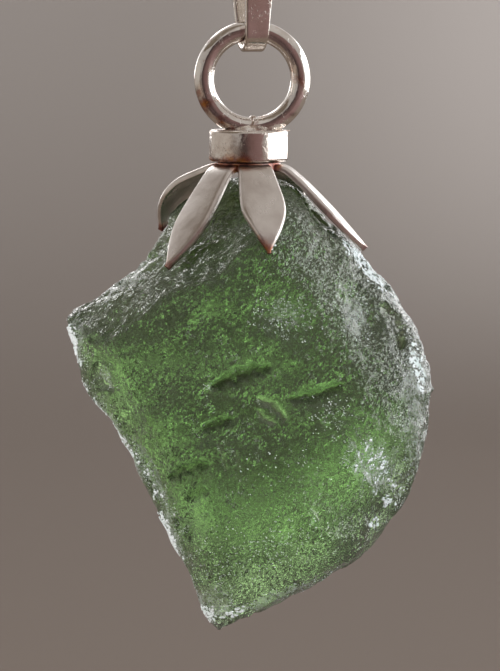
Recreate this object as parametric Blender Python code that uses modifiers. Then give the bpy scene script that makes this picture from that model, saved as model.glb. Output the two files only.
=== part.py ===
# Rough moldavite pendant: a fragment of green tektite glass held by a five-petal silver cap.
# The cap carries a collar and a soldered ring, and the ring hangs in a strip bail.
# Metres, +Z up, the front faces -Y. The origin is where a chain sits, inside the top of the bail.
import math
import random

import bmesh
import bpy
import numpy as np
from mathutils import Vector, noise
from mathutils.bvhtree import BVHTree

MM = 0.001
TOUCH_GAP = 0.06 * MM  # room left between pieces that touch
SHARP_ANGLE = math.radians(40)  # edges sharper than this are kept as edges

# Bail: a tapered strip closed into a drop-shaped loop
BAIL_INNER_HEIGHT = 6.2 * MM
BAIL_TOP_RADIUS = 1.55 * MM
BAIL_BOTTOM_RADIUS = 0.8 * MM
BAIL_THICKNESS = 0.34 * MM
BAIL_WIDTH_BOTTOM = 1.04 * MM
BAIL_WIDTH_TOP = 1.6 * MM
BAIL_ROUNDING = 0.07 * MM
BAIL_YAW = math.radians(14)
BAIL_ARC_STEPS = 14
BAIL_SIDE_STEPS = 5

# Ring: round wire, filed flat underneath where it is soldered to the collar
WIRE_RADIUS = 0.47 * MM
RING_RADIUS = 2.25 * MM
RING_FILED = 0.42 * MM
RING_REST = 0.18 * MM  # the wire bends down past the strip's edges, so it clears the strip's middle by this
RING_STEPS, WIRE_SIDES = 48, 12

# Collar
COLLAR_RADIUS = 1.86 * MM
COLLAR_HEIGHT = 1.48 * MM
COLLAR_ROUNDING = 0.14 * MM
COLLAR_X = -0.17 * MM  # the collar sits a little left of the ring
COLLAR_SIDES = 44

# Petal cap
DISC_RADIUS = 1.5 * MM
DISC_THICKNESS = 0.4 * MM
DISC_SIDES = 40
SHEET = 0.32 * MM
PETALS = ((11, 5.5), (84, 5.9), (156, 5.7), (229, 5.7), (312, 6.1))  # degrees from the front, and mm long
PETAL_START = 1.05 * MM  # how far from the axis each petal leaves the disc
PETAL_BEND = 1.62 * MM  # how far from the axis it stays level before it bends down
PETAL_HALF_WIDTH = 1.04 * MM
PETAL_BASE = 0.76  # share of the full width at the disc
PETAL_WIDEST = 0.56  # share of the length at which a petal is widest
PETAL_POINT = 1.72  # the higher, the blunter the tip
PETAL_TIP = 0.07  # share of the full width left at the tip
PETAL_CROWN = 0.09 * MM  # how far the middle of a petal stands above its edges
CROWN_START = 0.3  # share of the length over which the crown rises
PETAL_GAP = 0.16 * MM  # from the stone's high points to the sheet
PETAL_ROWS, PETAL_COLUMNS = 14, 4
PROBE_DROP = 4.0 * MM  # the stone is probed for its high points from this far below its top
PROBE_OFFSETS = np.linspace(-0.75, 0.75, 5) * PETAL_HALF_WIDTH
PROBE_LEANS = np.radians(np.arange(0, 131, 2))  # away from straight up
PATH_LEANS = np.radians(np.arange(4, 131, 1))
PATH_STEPS = 60
PATH_SMOOTHING = 12

# Stone
STONE_X = -0.09 * MM
STONE_Y = 0.11 * MM
STONE_TOP = 10.72  # mm from the stone's middle up to the flat under the cap
FRONT_DEPTH = 5.7  # mm
BACK_DEPTH = 5.3  # mm
SHOULDER_SWELL = 0.35  # how much thicker the stone is under the petals
SHOULDER_HEIGHT, SHOULDER_REACH = 8.0, 2.6  # mm, the swell's middle and how far it fades
BLUNTNESS = 0.62  # the lower, the blunter the stone's rim
THIN_SIDE = math.radians(205)  # the way the thin edge faces, seen from the front
THIN_SHARPNESS = 0.30  # how much sharper the rim is there
DEPTH_POWER = 0.9
EDGE_SOFTNESS = 0.42  # mm, how far the edge of a break is rounded
LUMPS = ((0.11, 0.55), (0.06, 1.5))  # height in mm, and lumps per mm
STONE_DETAIL = 7  # subdivisions of the sphere that it starts as
STONE_FACES = 5600
OUTLINE_STEPS = 720
OUTLINE_SOFTENING = 9  # steps
SEED = 7

# Scoops all round, in mm
SMALL_SCOOPS = 110
SCOOP_WIDTHS = (0.9, 2.9)
SCOOP_LENGTHS = (0.2, 0.9)  # share of the width
SCOOP_DEPTH = 0.11  # share of the width
FRONT_SPARED = 0.6  # share of them left out where the front has its own
FRONT_FACING = -0.45
TOP_SPARED = 0.8  # how far below the top they stay
FAR_OUT = 40  # further than any point of the stone

# Outline seen from the front, in mm from the stone's middle
OUTLINE = (
    (0.2, 11.4), (1.9, 10.45), (3.5, 8.75), (5.1, 7.1), (7.1, 4.85), (8.4, 2.75),
    (8.8, 0.2), (8.15, -2.4), (7.75, -4.6), (5.75, -7.3), (3.1, -8.8), (-0.6, -10.6),
    (-1.65, -11.4), (-2.6, -10.6), (-4.0, -6.4), (-5.75, -2.6), (-8.0, 0.3),
    (-8.35, 2.45), (-8.85, 3.95), (-7.6, 4.75), (-5.7, 6.3), (-4.5, 7.85),
    (-4.05, 9.1), (-2.5, 10.7),
)

# Flat breaks: the way each one faces, and its distance from the middle in mm
BREAKS = (
    ((0.05, -1.00, -0.02), 4.75),
    ((-0.75, -0.54, -0.39), 6.10),
    ((-0.50, -0.45, 0.74), 7.70),
    ((0.62, -0.70, 0.36), 6.75),
    ((0.66, -0.66, -0.36), 7.10),
    ((-0.05, -0.86, -0.50), 6.60),
    ((-0.10, 0.98, 0.06), 4.45),
    ((0.62, 0.72, 0.15), 6.30),
    ((0.50, 0.75, -0.45), 6.30),
    ((-0.70, 0.60, -0.40), 5.80),
    ((0.00, 0.80, -0.60), 6.70),
    ((0.00, 0.00, 1.00), STONE_TOP),
)

# Scoops on the front: two ends (x, z), width and depth, in mm
FRONT_SCOOPS = (
    ((-1.65, 0.70), (0.75, 1.65), 1.10, 0.26),
    ((1.80, 0.15), (4.25, 0.85), 1.10, 0.24),
    ((0.75, -0.05), (1.20, -0.45), 1.00, 0.26),
    ((-2.10, -1.20), (-1.40, -0.75), 1.10, 0.20),
    ((-3.00, -3.30), (-1.90, -2.90), 1.10, 0.16),
    ((-2.90, -4.40), (-2.30, -4.20), 1.00, 0.15),
    ((-2.60, -5.50), (-2.50, -5.40), 2.20, 0.25),
    ((-7.00, 1.65), (-6.75, 1.15), 1.00, 0.25),
    ((1.40, 4.50), (2.00, 4.00), 3.00, 0.28),
    ((5.00, 4.80), (5.40, 3.80), 2.20, 0.30),
    ((6.00, -2.20), (6.60, -3.20), 2.60, 0.32),
    ((6.00, -4.90), (6.30, -5.40), 1.60, 0.28),
    ((6.30, 4.40), (7.10, 2.90), 0.60, 0.20),
    ((-4.80, 3.60), (-3.00, 5.20), 3.20, 0.25),
    ((-5.20, 0.80), (-3.40, 2.40), 2.60, 0.20),
    ((3.10, -3.20), (3.90, -4.60), 2.40, 0.22),
    ((0.20, -6.40), (1.60, -7.00), 2.40, 0.22),
)

# Heights, from the chain's seat down
HINGE_Z = -BAIL_INNER_HEIGHT + RING_REST + WIRE_RADIUS
RING_Z = HINGE_Z - RING_RADIUS
COLLAR_TOP = RING_Z - RING_RADIUS - WIRE_RADIUS + RING_FILED - TOUCH_GAP
DISC_TOP = COLLAR_TOP - COLLAR_HEIGHT - TOUCH_GAP
STONE_TOP_Z = DISC_TOP - DISC_THICKNESS - TOUCH_GAP
STONE_MIDDLE = Vector((STONE_X, STONE_Y, STONE_TOP_Z - STONE_TOP * MM))


def clear_scene():
    for obj in list(bpy.data.objects):
        bpy.data.objects.remove(obj, do_unlink=True)


def make_material(name, colour, roughness, metallic, transmission=0.0):
    material = bpy.data.materials.new(name)
    material.use_nodes = True
    shader = material.node_tree.nodes["Principled BSDF"]
    shader.inputs["Base Color"].default_value = (*colour, 1.0)
    shader.inputs["Roughness"].default_value = roughness
    shader.inputs["Metallic"].default_value = metallic
    shader.inputs["Transmission Weight"].default_value = transmission
    material.diffuse_color = (*colour, 1.0)
    return material


def add_piece(name, bm, collection, material, place, parent=None):
    # Makes an object of bm; place is its origin in the whole object's frame
    mesh = bpy.data.meshes.new(name)
    bm.to_mesh(mesh)
    bm.free()
    mesh.materials.append(material)
    piece = bpy.data.objects.new(name, mesh)
    collection.objects.link(piece)
    piece.parent = parent
    piece.location = place - (parent.location if parent else Vector())
    return piece


def make_helper(piece):
    piece.hide_render = True
    piece.display_type = "WIRE"
    return piece


def join_or_cut(piece, other, operation):
    boolean = piece.modifiers.new(operation.lower(), "BOOLEAN")
    boolean.operation = operation
    boolean.object = other
    boolean.solver = "EXACT"
    boolean.use_self = operation == "UNION"  # the petals overlap one another at the disc


def add_bevel(piece, width, segments):
    bevel = piece.modifiers.new("rounded_edges", "BEVEL")
    bevel.width = width
    bevel.segments = segments
    bevel.limit_method = "ANGLE"
    bevel.angle_limit = SHARP_ANGLE


def smooth_round(piece):
    piece.data.shade_smooth()
    piece.data.set_sharp_from_angle(angle=SHARP_ANGLE)


# Stone


def outline_radii(count):
    # How far the outline lies from the middle, for evenly spaced angles from +X
    corners = np.array(OUTLINE)
    angles = np.arange(count) * 2 * math.pi / count
    ways = np.stack([np.cos(angles), np.sin(angles)], axis=1)
    radii = np.full(count, np.inf)
    for start, end in zip(corners, np.roll(corners, -1, axis=0)):
        side = end - start
        across = ways[:, 0] * side[1] - ways[:, 1] * side[0]
        reach = (start[0] * side[1] - start[1] * side[0]) / across
        share = (start[0] * ways[:, 1] - start[1] * ways[:, 0]) / across
        met = (reach > 0) & (share >= 0) & (share <= 1)
        radii = np.where(met, np.minimum(radii, reach), radii)
    window = np.hanning(OUTLINE_SOFTENING)
    half = OUTLINE_SOFTENING // 2
    padded = np.concatenate([radii[-half:], radii, radii[:half]])
    return np.convolve(padded, window / window.sum(), mode="valid")


def rounded_body(directions):
    # A blunt lens over the outline, from points on the unit sphere
    in_plane = np.hypot(directions[:, 0], directions[:, 2])
    angles = np.arctan2(directions[:, 2], directions[:, 0]) % (2 * math.pi)
    radii = outline_radii(OUTLINE_STEPS)
    turns = np.linspace(0, 2 * math.pi, OUTLINE_STEPS + 1)
    reach = np.interp(angles, turns, np.append(radii, radii[0]))
    # The right side is blunt and the lower left edge is thin
    thin = np.clip(np.cos(angles - THIN_SIDE), 0, 1)
    spread = reach * in_plane ** (BLUNTNESS + THIN_SHARPNESS * thin)
    depth = np.where(directions[:, 1] < 0, FRONT_DEPTH, BACK_DEPTH)
    points = np.empty_like(directions)
    points[:, 0] = spread * np.cos(angles)
    points[:, 2] = spread * np.sin(angles)
    swell = 1 + SHOULDER_SWELL * np.exp(-(((points[:, 2] - SHOULDER_HEIGHT) / SHOULDER_REACH) ** 2))
    points[:, 1] = np.sign(directions[:, 1]) * depth * swell * np.abs(directions[:, 1]) ** DEPTH_POWER
    return points


def break_flats(points):
    # Everything past a break's plane is pressed onto it, with a soft edge
    for facing, distance in BREAKS:
        normal = np.array(Vector(facing).normalized())
        beyond = (points @ normal - distance) / EDGE_SOFTNESS
        points = points - np.outer(np.logaddexp(0, beyond) * EDGE_SOFTNESS, normal)
    return points


def scoop_out(points, start, end, width, depth, outward):
    # Presses a rounded groove into the surface between two points on it
    radius = (width * width / 4 + depth * depth) / (2 * depth)
    lift = outward * (radius - depth)
    first, last = start + lift, end + lift
    along = last - first
    share = np.clip((points - first) @ along / max(along @ along, 1e-9), 0, 1)
    away = points - (first + np.outer(share, along))
    distance = np.linalg.norm(away, axis=1)
    inside = distance < radius
    points[inside] += away[inside] * (radius / distance[inside] - 1)[:, None]
    return points


def carve_front(points, tree):
    for start, end, width, depth in FRONT_SCOOPS:
        hits = [tree.ray_cast(Vector((x, -FAR_OUT, z)), Vector((0, 1, 0))) for x, z in (start, end)]
        outward = np.array((hits[0][1] + hits[1][1]).normalized())
        ends = [np.array(hit[0]) for hit in hits]
        points = scoop_out(points, ends[0], ends[1], width, depth, outward)
    return points


def carve_all_round(points, tree):
    # Smaller scoops, fewer of them on the front, which has its own
    dice = random.Random(SEED)
    for _ in range(SMALL_SCOOPS):
        way = Vector([dice.gauss(0, 1) for _ in range(3)]).normalized()
        width = dice.uniform(*SCOOP_WIDTHS)
        sideways = Vector([dice.gauss(0, 1) for _ in range(3)])
        length = dice.uniform(*SCOOP_LENGTHS) * width
        if way.y < FRONT_FACING and dice.random() < FRONT_SPARED:
            continue
        place, outward, _, _ = tree.ray_cast(way * FAR_OUT, -way)
        if place.z > STONE_TOP - TOP_SPARED:
            continue
        end = place + sideways.cross(outward).normalized() * length
        points = scoop_out(
            points, np.array(place), np.array(end), width, SCOOP_DEPTH * width, np.array(outward)
        )
    return points


def roughen(points):
    out = points / np.linalg.norm(points, axis=1)[:, None]
    lumps = [sum(height * noise.noise(Vector(p) * rate) for height, rate in LUMPS) for p in points]
    return points + out * np.array(lumps)[:, None]


def shape_stone():
    # The stone's full surface in mm from its middle, and its triangles
    bm = bmesh.new()
    bmesh.ops.create_icosphere(bm, subdivisions=STONE_DETAIL, radius=1.0)
    faces = [[v.index for v in f.verts] for f in bm.faces]
    points = break_flats(rounded_body(np.array([v.co[:] for v in bm.verts])))
    bm.free()
    tree = BVHTree.FromPolygons([Vector(p) for p in points], faces)
    points = carve_front(points, tree)
    points = carve_all_round(points, tree)
    points = roughen(points)
    points[:, 2] = np.minimum(points[:, 2], STONE_TOP)
    return points, faces


def make_stone(points, faces, collection, material, swing):
    bm = bmesh.new()
    vertices = [bm.verts.new(point * MM) for point in points]
    for face in faces:
        bm.faces.new([vertices[index] for index in face])
    stone = add_piece("stone", bm, collection, material, STONE_MIDDLE, swing)
    fewer = stone.modifiers.new("fewer_faces", "DECIMATE")
    fewer.ratio = STONE_FACES / len(faces)
    stone.data.shade_smooth()
    return stone


# Petal cap


def petal_path(tree, facing, sideways, length):
    # The sheet's underside in one petal's plane, as distance from the axis and height.
    # It leaves the disc level, bends down past the collar, then bends only over the stone's high points.
    inside = Vector((COLLAR_X, 0, STONE_TOP_Z - PROBE_DROP))
    touched = []
    for offset in PROBE_OFFSETS:
        for lean in PROBE_LEANS:
            way = facing * math.sin(lean) + Vector((0, 0, math.cos(lean)))
            hit = tree.ray_cast(inside + sideways * offset, way)[0]
            touched.append(((hit - inside).dot(facing), hit.z))
    touched = np.array(touched)
    level = DISC_TOP - DISC_THICKNESS + (DISC_THICKNESS - SHEET) / 2
    bend = np.array((PETAL_BEND, level))
    path = [np.array((PETAL_START, level)), bend]
    for lean in PATH_LEANS:
        outward = np.array((math.sin(lean), math.cos(lean)))
        highest = touched[np.argmax(touched @ outward)] + outward * PETAL_GAP
        if highest @ outward > bend @ outward and highest[0] > path[-1][0]:
            path.append(highest)
    # Past the last high point the sheet runs on straight
    straight = path[-1] - path[-2]
    path.append(path[-1] + straight / np.linalg.norm(straight) * length)
    path = np.array(path)
    lengths = np.concatenate([[0], np.cumsum(np.linalg.norm(np.diff(path, axis=0), axis=1))])
    even = np.linspace(0, length, PATH_STEPS)
    smooth = np.stack([np.interp(even, lengths, path[:, i]) for i in (0, 1)], axis=1)
    for _ in range(PATH_SMOOTHING):
        smooth[1:-1] = (smooth[:-2] + 2 * smooth[1:-1] + smooth[2:]) / 4
    return even / length, smooth


def petal_width(share):
    # Half the petal's width: it swells from the base, then closes to a rounded point
    if share < PETAL_WIDEST:
        rise = share / PETAL_WIDEST
        return PETAL_HALF_WIDTH * (PETAL_BASE + (1 - PETAL_BASE) * rise * rise * (3 - 2 * rise))
    closing = (share - PETAL_WIDEST) / (1 - PETAL_WIDEST)
    return PETAL_HALF_WIDTH * max(PETAL_TIP, 1 - closing ** PETAL_POINT)


def add_petal(bm, tree, turn, length):
    facing = Vector((math.sin(turn), -math.cos(turn), 0))
    sideways = Vector((math.cos(turn), math.sin(turn), 0))
    shares, path = petal_path(tree, facing, sideways, length)
    slopes = np.gradient(path, axis=0)
    rows = []
    for share in np.linspace(0, 1, PETAL_ROWS):
        away, height = (np.interp(share, shares, path[:, i]) for i in (0, 1))
        run, drop = (np.interp(share, shares, slopes[:, i]) for i in (0, 1))
        outward = (facing * -drop + Vector((0, 0, run))).normalized()
        middle = Vector((COLLAR_X, 0, height)) + facing * away
        half = petal_width(share)
        rise = PETAL_CROWN * min(1, share / CROWN_START) * (half / PETAL_HALF_WIDTH) ** 2
        row = []
        for side in np.linspace(-1, 1, PETAL_COLUMNS + 1):
            crown = outward * rise * (1 - side * side)
            row.append(bm.verts.new(middle + sideways * side * half + crown))
        rows.append(row)
    for upper, lower in zip(rows, rows[1:]):
        for i in range(PETAL_COLUMNS):
            bm.faces.new((upper[i], lower[i], lower[i + 1], upper[i + 1]))


def make_petal_cap(tree, collection, helpers, material, swing):
    middle = Vector((COLLAR_X, 0, DISC_TOP - DISC_THICKNESS / 2))
    bm = bmesh.new()
    bmesh.ops.create_cone(
        bm, cap_ends=True, segments=DISC_SIDES, radius1=DISC_RADIUS, radius2=DISC_RADIUS,
        depth=DISC_THICKNESS,
    )
    cap = add_piece("petal_cap", bm, collection, material, middle, swing)
    bm = bmesh.new()
    for degrees, length in PETALS:
        add_petal(bm, tree, math.radians(degrees), length * MM)
    bmesh.ops.translate(bm, verts=bm.verts, vec=-middle)
    petals = make_helper(add_piece("petals", bm, helpers, material, middle, swing))
    sheet = petals.modifiers.new("sheet", "SOLIDIFY")
    sheet.thickness = SHEET
    sheet.offset = 1.0
    smooth_round(petals)
    smooth_round(cap)
    join_or_cut(cap, petals, "UNION")
    return cap


# Collar, ring and bail


def make_collar(collection, material, swing):
    bm = bmesh.new()
    bmesh.ops.create_cone(
        bm, cap_ends=True, segments=COLLAR_SIDES, radius1=COLLAR_RADIUS, radius2=COLLAR_RADIUS,
        depth=COLLAR_HEIGHT,
    )
    middle = Vector((COLLAR_X, 0, COLLAR_TOP - COLLAR_HEIGHT / 2))
    collar = add_piece("collar", bm, collection, material, middle, swing)
    add_bevel(collar, COLLAR_ROUNDING, 2)
    smooth_round(collar)
    return collar


def make_ring(collection, helpers, material, swing):
    bpy.ops.mesh.primitive_torus_add(
        major_segments=RING_STEPS, minor_segments=WIRE_SIDES, major_radius=RING_RADIUS,
        minor_radius=WIRE_RADIUS,
    )
    torus = bpy.context.object
    bm = bmesh.new()
    bm.from_mesh(torus.data)
    bpy.data.objects.remove(torus, do_unlink=True)
    upright = Vector((0, 1, 0)).to_track_quat("Z", "X").to_matrix()
    bmesh.ops.rotate(bm, verts=bm.verts, matrix=upright)
    ring = add_piece("ring", bm, collection, material, Vector((0, 0, RING_Z)), swing)
    bm = bmesh.new()
    bmesh.ops.create_cube(bm, size=2 * RING_RADIUS)
    below = Vector((0, 0, RING_Z - 2 * RING_RADIUS - WIRE_RADIUS + RING_FILED))
    cutter = make_helper(add_piece("ring_file", bm, helpers, material, below, swing))
    join_or_cut(ring, cutter, "DIFFERENCE")
    smooth_round(ring)
    return ring


def bail_path():
    # Inside of the loop as points with the way out of it, both as (forward, up)
    top = np.array((0, -BAIL_TOP_RADIUS))
    bottom = np.array((0, -BAIL_INNER_HEIGHT + BAIL_BOTTOM_RADIUS))
    lean = math.asin((BAIL_TOP_RADIUS - BAIL_BOTTOM_RADIUS) / (top[1] - bottom[1]))
    over = np.linspace(-lean, math.pi + lean, BAIL_ARC_STEPS + 1)
    under = np.linspace(math.pi + lean, 2 * math.pi - lean, BAIL_ARC_STEPS + 1)
    path = [(top, BAIL_TOP_RADIUS, turn) for turn in over]
    down = np.linspace(0, 1, BAIL_SIDE_STEPS + 1)[1:-1]
    path += [(top + (bottom - top) * s, None, over[-1]) for s in down]
    path += [(bottom, BAIL_BOTTOM_RADIUS, turn) for turn in under]
    path += [(bottom + (top - bottom) * s, None, under[-1]) for s in down]
    points = []
    for centre, radius, turn in path:
        if radius is None:
            share = (centre[1] - bottom[1]) / (top[1] - bottom[1])
            radius = BAIL_BOTTOM_RADIUS + share * (BAIL_TOP_RADIUS - BAIL_BOTTOM_RADIUS)
        outward = np.array((math.cos(turn), math.sin(turn)))
        points.append(centre + radius * outward)
    return points


def make_bail(collection, material):
    bm = bmesh.new()
    rows = []
    for forward, height in bail_path():
        share = -height / BAIL_INNER_HEIGHT
        half = (BAIL_WIDTH_TOP + share * (BAIL_WIDTH_BOTTOM - BAIL_WIDTH_TOP)) / 2
        rows.append([bm.verts.new((side * half, -forward, height)) for side in (-1, 1)])
    for row, following in zip(rows, rows[1:] + rows[:1]):
        bm.faces.new((row[0], following[0], following[1], row[1]))
    bmesh.ops.recalc_face_normals(bm, faces=bm.faces)
    bail = add_piece("bail", bm, collection, material, Vector((0, 0, 0)))
    bail.rotation_euler.z = BAIL_YAW
    strip = bail.modifiers.new("strip", "SOLIDIFY")
    strip.thickness = BAIL_THICKNESS
    strip.offset = 1.0
    add_bevel(bail, BAIL_ROUNDING, 1)
    smooth_round(bail)
    return bail


def main():
    clear_scene()
    pendant = bpy.data.collections.new("moldavite_pendant")
    helpers = bpy.data.collections.new("cutters_and_joiners")
    for collection in (pendant, helpers):
        bpy.context.scene.collection.children.link(collection)
    swing = bpy.data.objects.new("pendant_swing", None)
    swing.location = (0, 0, HINGE_Z)
    pendant.objects.link(swing)

    points, faces = shape_stone()
    tree = BVHTree.FromPolygons([Vector(p) * MM + STONE_MIDDLE for p in points], faces)
    glass = make_material("moldavite_glass", (0.17, 0.32, 0.10), 0.2, 0.0, 0.6)
    make_stone(points, faces, pendant, glass, swing)
    petal_silver = make_material("stamped_silver", (0.62, 0.58, 0.53), 0.34, 1.0)
    make_petal_cap(tree, pendant, helpers, petal_silver, swing)
    collar_silver = make_material("collar_silver", (0.66, 0.60, 0.54), 0.25, 1.0)
    make_collar(pendant, collar_silver, swing)
    wire_silver = make_material("wire_silver", (0.72, 0.68, 0.63), 0.18, 1.0)
    make_ring(pendant, helpers, wire_silver, swing)
    bail_silver = make_material("bail_silver", (0.74, 0.70, 0.64), 0.2, 1.0)
    make_bail(pendant, bail_silver)


main()
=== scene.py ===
# Looks of a rough moldavite pendant: green tektite glass in a five-petal silver cap.
# Metres, +Z up, the front faces -Y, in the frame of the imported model.
import math

import bmesh
import bpy
import numpy as np
from mathutils import Matrix, Vector, noise
from mathutils.bvhtree import BVHTree


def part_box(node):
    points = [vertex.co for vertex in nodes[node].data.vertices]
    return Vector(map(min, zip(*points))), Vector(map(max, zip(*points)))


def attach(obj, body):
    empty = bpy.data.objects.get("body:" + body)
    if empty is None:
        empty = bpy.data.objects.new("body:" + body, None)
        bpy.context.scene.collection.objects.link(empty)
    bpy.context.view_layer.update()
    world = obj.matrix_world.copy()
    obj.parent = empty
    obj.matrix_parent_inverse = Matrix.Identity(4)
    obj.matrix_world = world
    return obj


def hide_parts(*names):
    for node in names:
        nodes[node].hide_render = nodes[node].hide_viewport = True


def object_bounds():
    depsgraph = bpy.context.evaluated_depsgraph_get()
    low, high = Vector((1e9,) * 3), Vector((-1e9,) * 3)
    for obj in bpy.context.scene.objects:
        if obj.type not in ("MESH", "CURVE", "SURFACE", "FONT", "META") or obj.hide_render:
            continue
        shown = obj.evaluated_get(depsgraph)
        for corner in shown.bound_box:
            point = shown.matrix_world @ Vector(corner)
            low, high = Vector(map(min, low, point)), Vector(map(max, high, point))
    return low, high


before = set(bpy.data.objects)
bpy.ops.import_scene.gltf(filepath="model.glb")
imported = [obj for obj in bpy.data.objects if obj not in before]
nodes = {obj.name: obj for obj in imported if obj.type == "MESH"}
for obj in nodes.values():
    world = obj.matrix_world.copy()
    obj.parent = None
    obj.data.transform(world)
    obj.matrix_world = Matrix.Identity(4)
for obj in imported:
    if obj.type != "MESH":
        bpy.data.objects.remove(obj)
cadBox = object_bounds()

mm = 0.001


def setAll(thing, **settings):
    for name, value in settings.items():
        setattr(thing, name, value)
    return thing


# Small helpers for node trees; they serve shader trees and Geometry Nodes alike

def feed(socket, value):
    if isinstance(value, bpy.types.NodeSocket):
        socket.id_data.links.new(value, socket)
    elif value is not None:
        socket.default_value = value


def feedAll(node, inputs):
    # inputs: what feeds each socket, by name or number
    for name, value in dict(inputs).items():
        feed(node.inputs[name], value)
    return node


def newNode(tree, kind, inputs=(), **settings):
    return feedAll(setAll(tree.nodes.new(kind), **settings), inputs)


def nextNode(kind, inputs, **settings):
    # A node in the tree of the sockets that feed it
    inputs = dict(inputs)
    tree = next(value.id_data for value in inputs.values() if isinstance(value, bpy.types.NodeSocket))
    return newNode(tree, kind, inputs, **settings)


def calc(operation, *values):
    return nextNode("ShaderNodeMath", enumerate(values), operation=operation).outputs[0]


def times(first, second):
    return calc("MULTIPLY", first, second)


def vectorCalc(operation, *values):
    node = nextNode("ShaderNodeVectorMath", enumerate(values), operation=operation)
    return node.outputs["Value" if operation in ("DOT_PRODUCT", "LENGTH") else "Vector"]


def scaled(vector, factor):
    inputs = {0: vector, "Scale": factor}
    return nextNode("ShaderNodeVectorMath", inputs, operation="SCALE").outputs[0]


def turned(vector, axis, angle):
    inputs = {"Vector": vector, "Axis": axis, "Angle": angle}
    return nextNode("ShaderNodeVectorRotate", inputs, rotation_type="AXIS_ANGLE").outputs[0]


def remap(value, low, high, toLow=0.0, toHigh=1.0):
    inputs = enumerate((value, low, high, toLow, toHigh))
    return nextNode("ShaderNodeMapRange", inputs, interpolation_type="SMOOTHSTEP").outputs[0]


def noiseField(vector, scale, detail=2.0, output="Fac"):
    inputs = {"Vector": vector, "Scale": scale, "Detail": detail}
    return nextNode("ShaderNodeTexNoise", inputs).outputs[output]


def cellField(vector, scale, output):
    return nextNode("ShaderNodeTexVoronoi", {"Vector": vector, "Scale": scale}).outputs[output]


def mixColours(factor, first, second, mode="MIX"):
    # For colours the node's sockets are 0, 6 and 7, and its outcome is 2
    inputs = {0: factor, 6: first, 7: second}
    return nextNode("ShaderNodeMix", inputs, data_type="RGBA", blend_type=mode).outputs[2]


def groupNode(group, **values):
    return nextNode("ShaderNodeGroup", values, node_tree=group)


def newGroup(name, kind, inputs, outputs):
    # inputs: each one's first value, whose type is also the socket's; outputs: types by name
    types = {type(None): "Geometry", bool: "Bool", int: "Int", float: "Float", tuple: "Vector"}
    tree = bpy.data.node_groups.new(name, kind)
    for label, value in inputs.items():
        item = tree.interface.new_socket(label, in_out="INPUT", socket_type="NodeSocket" + types[type(value)])
        if value is not None:
            item.default_value = value
    for label, result in outputs.items():
        tree.interface.new_socket(label, in_out="OUTPUT", socket_type="NodeSocket" + result)
    return tree, newNode(tree, "NodeGroupInput").outputs, newNode(tree, "NodeGroupOutput").inputs


def setInputs(modifier, values):
    # A modifier's inputs go by identifier
    for item in modifier.node_group.interface.items_tree:
        if item.item_type == "SOCKET" and item.in_out == "INPUT" and item.name in values:
            modifier[item.identifier] = values[item.name]


def liveSockets(sockets, name=None):
    # The sockets that count for the node's type of data
    return [socket for socket in sockets if socket.enabled and name in (None, socket.name)]


def split(vector):
    return nextNode("ShaderNodeSeparateXYZ", {0: vector}).outputs


def storedMark(tree, name):
    return newNode(tree, "ShaderNodeAttribute", attribute_name=name).outputs["Fac"]


def objectPlace(tree):
    return newNode(tree, "ShaderNodeTexCoord").outputs["Object"]


def bumped(height, strength=1.0):
    # The height is in mm
    return nextNode("ShaderNodeBump", {"Strength": strength, "Distance": mm, "Height": height}).outputs[0]


def newMaterial(name):
    material = bpy.data.materials.new(name)
    material.use_nodes = True
    return material, material.node_tree, material.node_tree.nodes["Principled BSDF"]


def endTree(geometry, material, out):
    # Closes a Geometry Nodes tree: real faces with their material
    whole = nextNode("GeometryNodeRealizeInstances", {0: geometry})
    painted = nextNode("GeometryNodeSetMaterial", {"Geometry": whole.outputs[0], "Material": material})
    feed(out["Geometry"], painted.outputs[0])


# Small helpers for meshes

def newPiece(name, bm, material):
    mesh = bpy.data.meshes.new(name)
    bm.to_mesh(mesh)
    bm.free()
    mesh.materials.append(material)
    piece = bpy.data.objects.new(name, mesh)
    bpy.context.scene.collection.objects.link(piece)
    return piece


def bridge(bm, rings):
    # Faces between each ring of points and the next
    for first, second in zip(rings, rings[1:]):
        for i in range(len(first)):
            j = (i + 1) % len(first)
            bm.faces.new((first[i], first[j], second[j], second[i]))


def solidPiece(name, bm, material):
    # A piece whose faces all look outward
    bmesh.ops.recalc_face_normals(bm, faces=bm.faces)
    return newPiece(name, bm, material)


def applyModifiers(piece):
    # Turns what the modifiers make into the piece's own plain mesh
    bpy.context.view_layer.update()
    evaluated = piece.evaluated_get(bpy.context.evaluated_depsgraph_get())
    mesh = bpy.data.meshes.new_from_object(evaluated)
    old = piece.data
    piece.modifiers.clear()
    piece.data = mesh
    bpy.data.meshes.remove(old)
    mesh.name = piece.name
    return piece


def roundTurns(count, start=0.0):
    return [start + 2 * math.pi * step / count for step in range(count)]


def finishPiece(piece, body, node):
    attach(piece, body)
    if node:
        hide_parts(node)
    print(piece.name, sum(len(face.vertices) - 2 for face in piece.data.polygons), "triangles")


# Node groups that several materials share

scratchLook = {
    # Axis, turn about it and stretch of each crossing direction
    "directions": (((0.2, 1, 0.1), 0.5, 0.06), ((0.3, 0.2, 1), 1.9, 0.05)),
    "patchScale": 0.9,
    "dentScale": 1.3,
    "roughness": 0.12,  # added in the scratches
}


def scratchGroup():
    # Fine straight scratches in two crossing directions, and the soft dents between them
    tree, given, out = newGroup(
        "handlingScratches", "ShaderNodeTree", {"Vector": (0, 0, 0), "Fineness": 9.0},
        {"Scratches": "Float", "Dents": "Float"},
    )
    lines = []
    for axis, angle, stretch in scratchLook["directions"]:
        spot = vectorCalc("MULTIPLY", turned(given["Vector"], axis, angle), (1, 1, stretch))
        lines.append(remap(noiseField(spot, given["Fineness"], 3.0), 0.6, 0.68))
    patches = remap(noiseField(given["Vector"], scratchLook["patchScale"], 2.0), 0.42, 0.62)
    feed(out["Scratches"], times(calc("MAXIMUM", *lines), patches))
    feed(out["Dents"], noiseField(given["Vector"], scratchLook["dentScale"], 3.0))
    return tree


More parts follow.
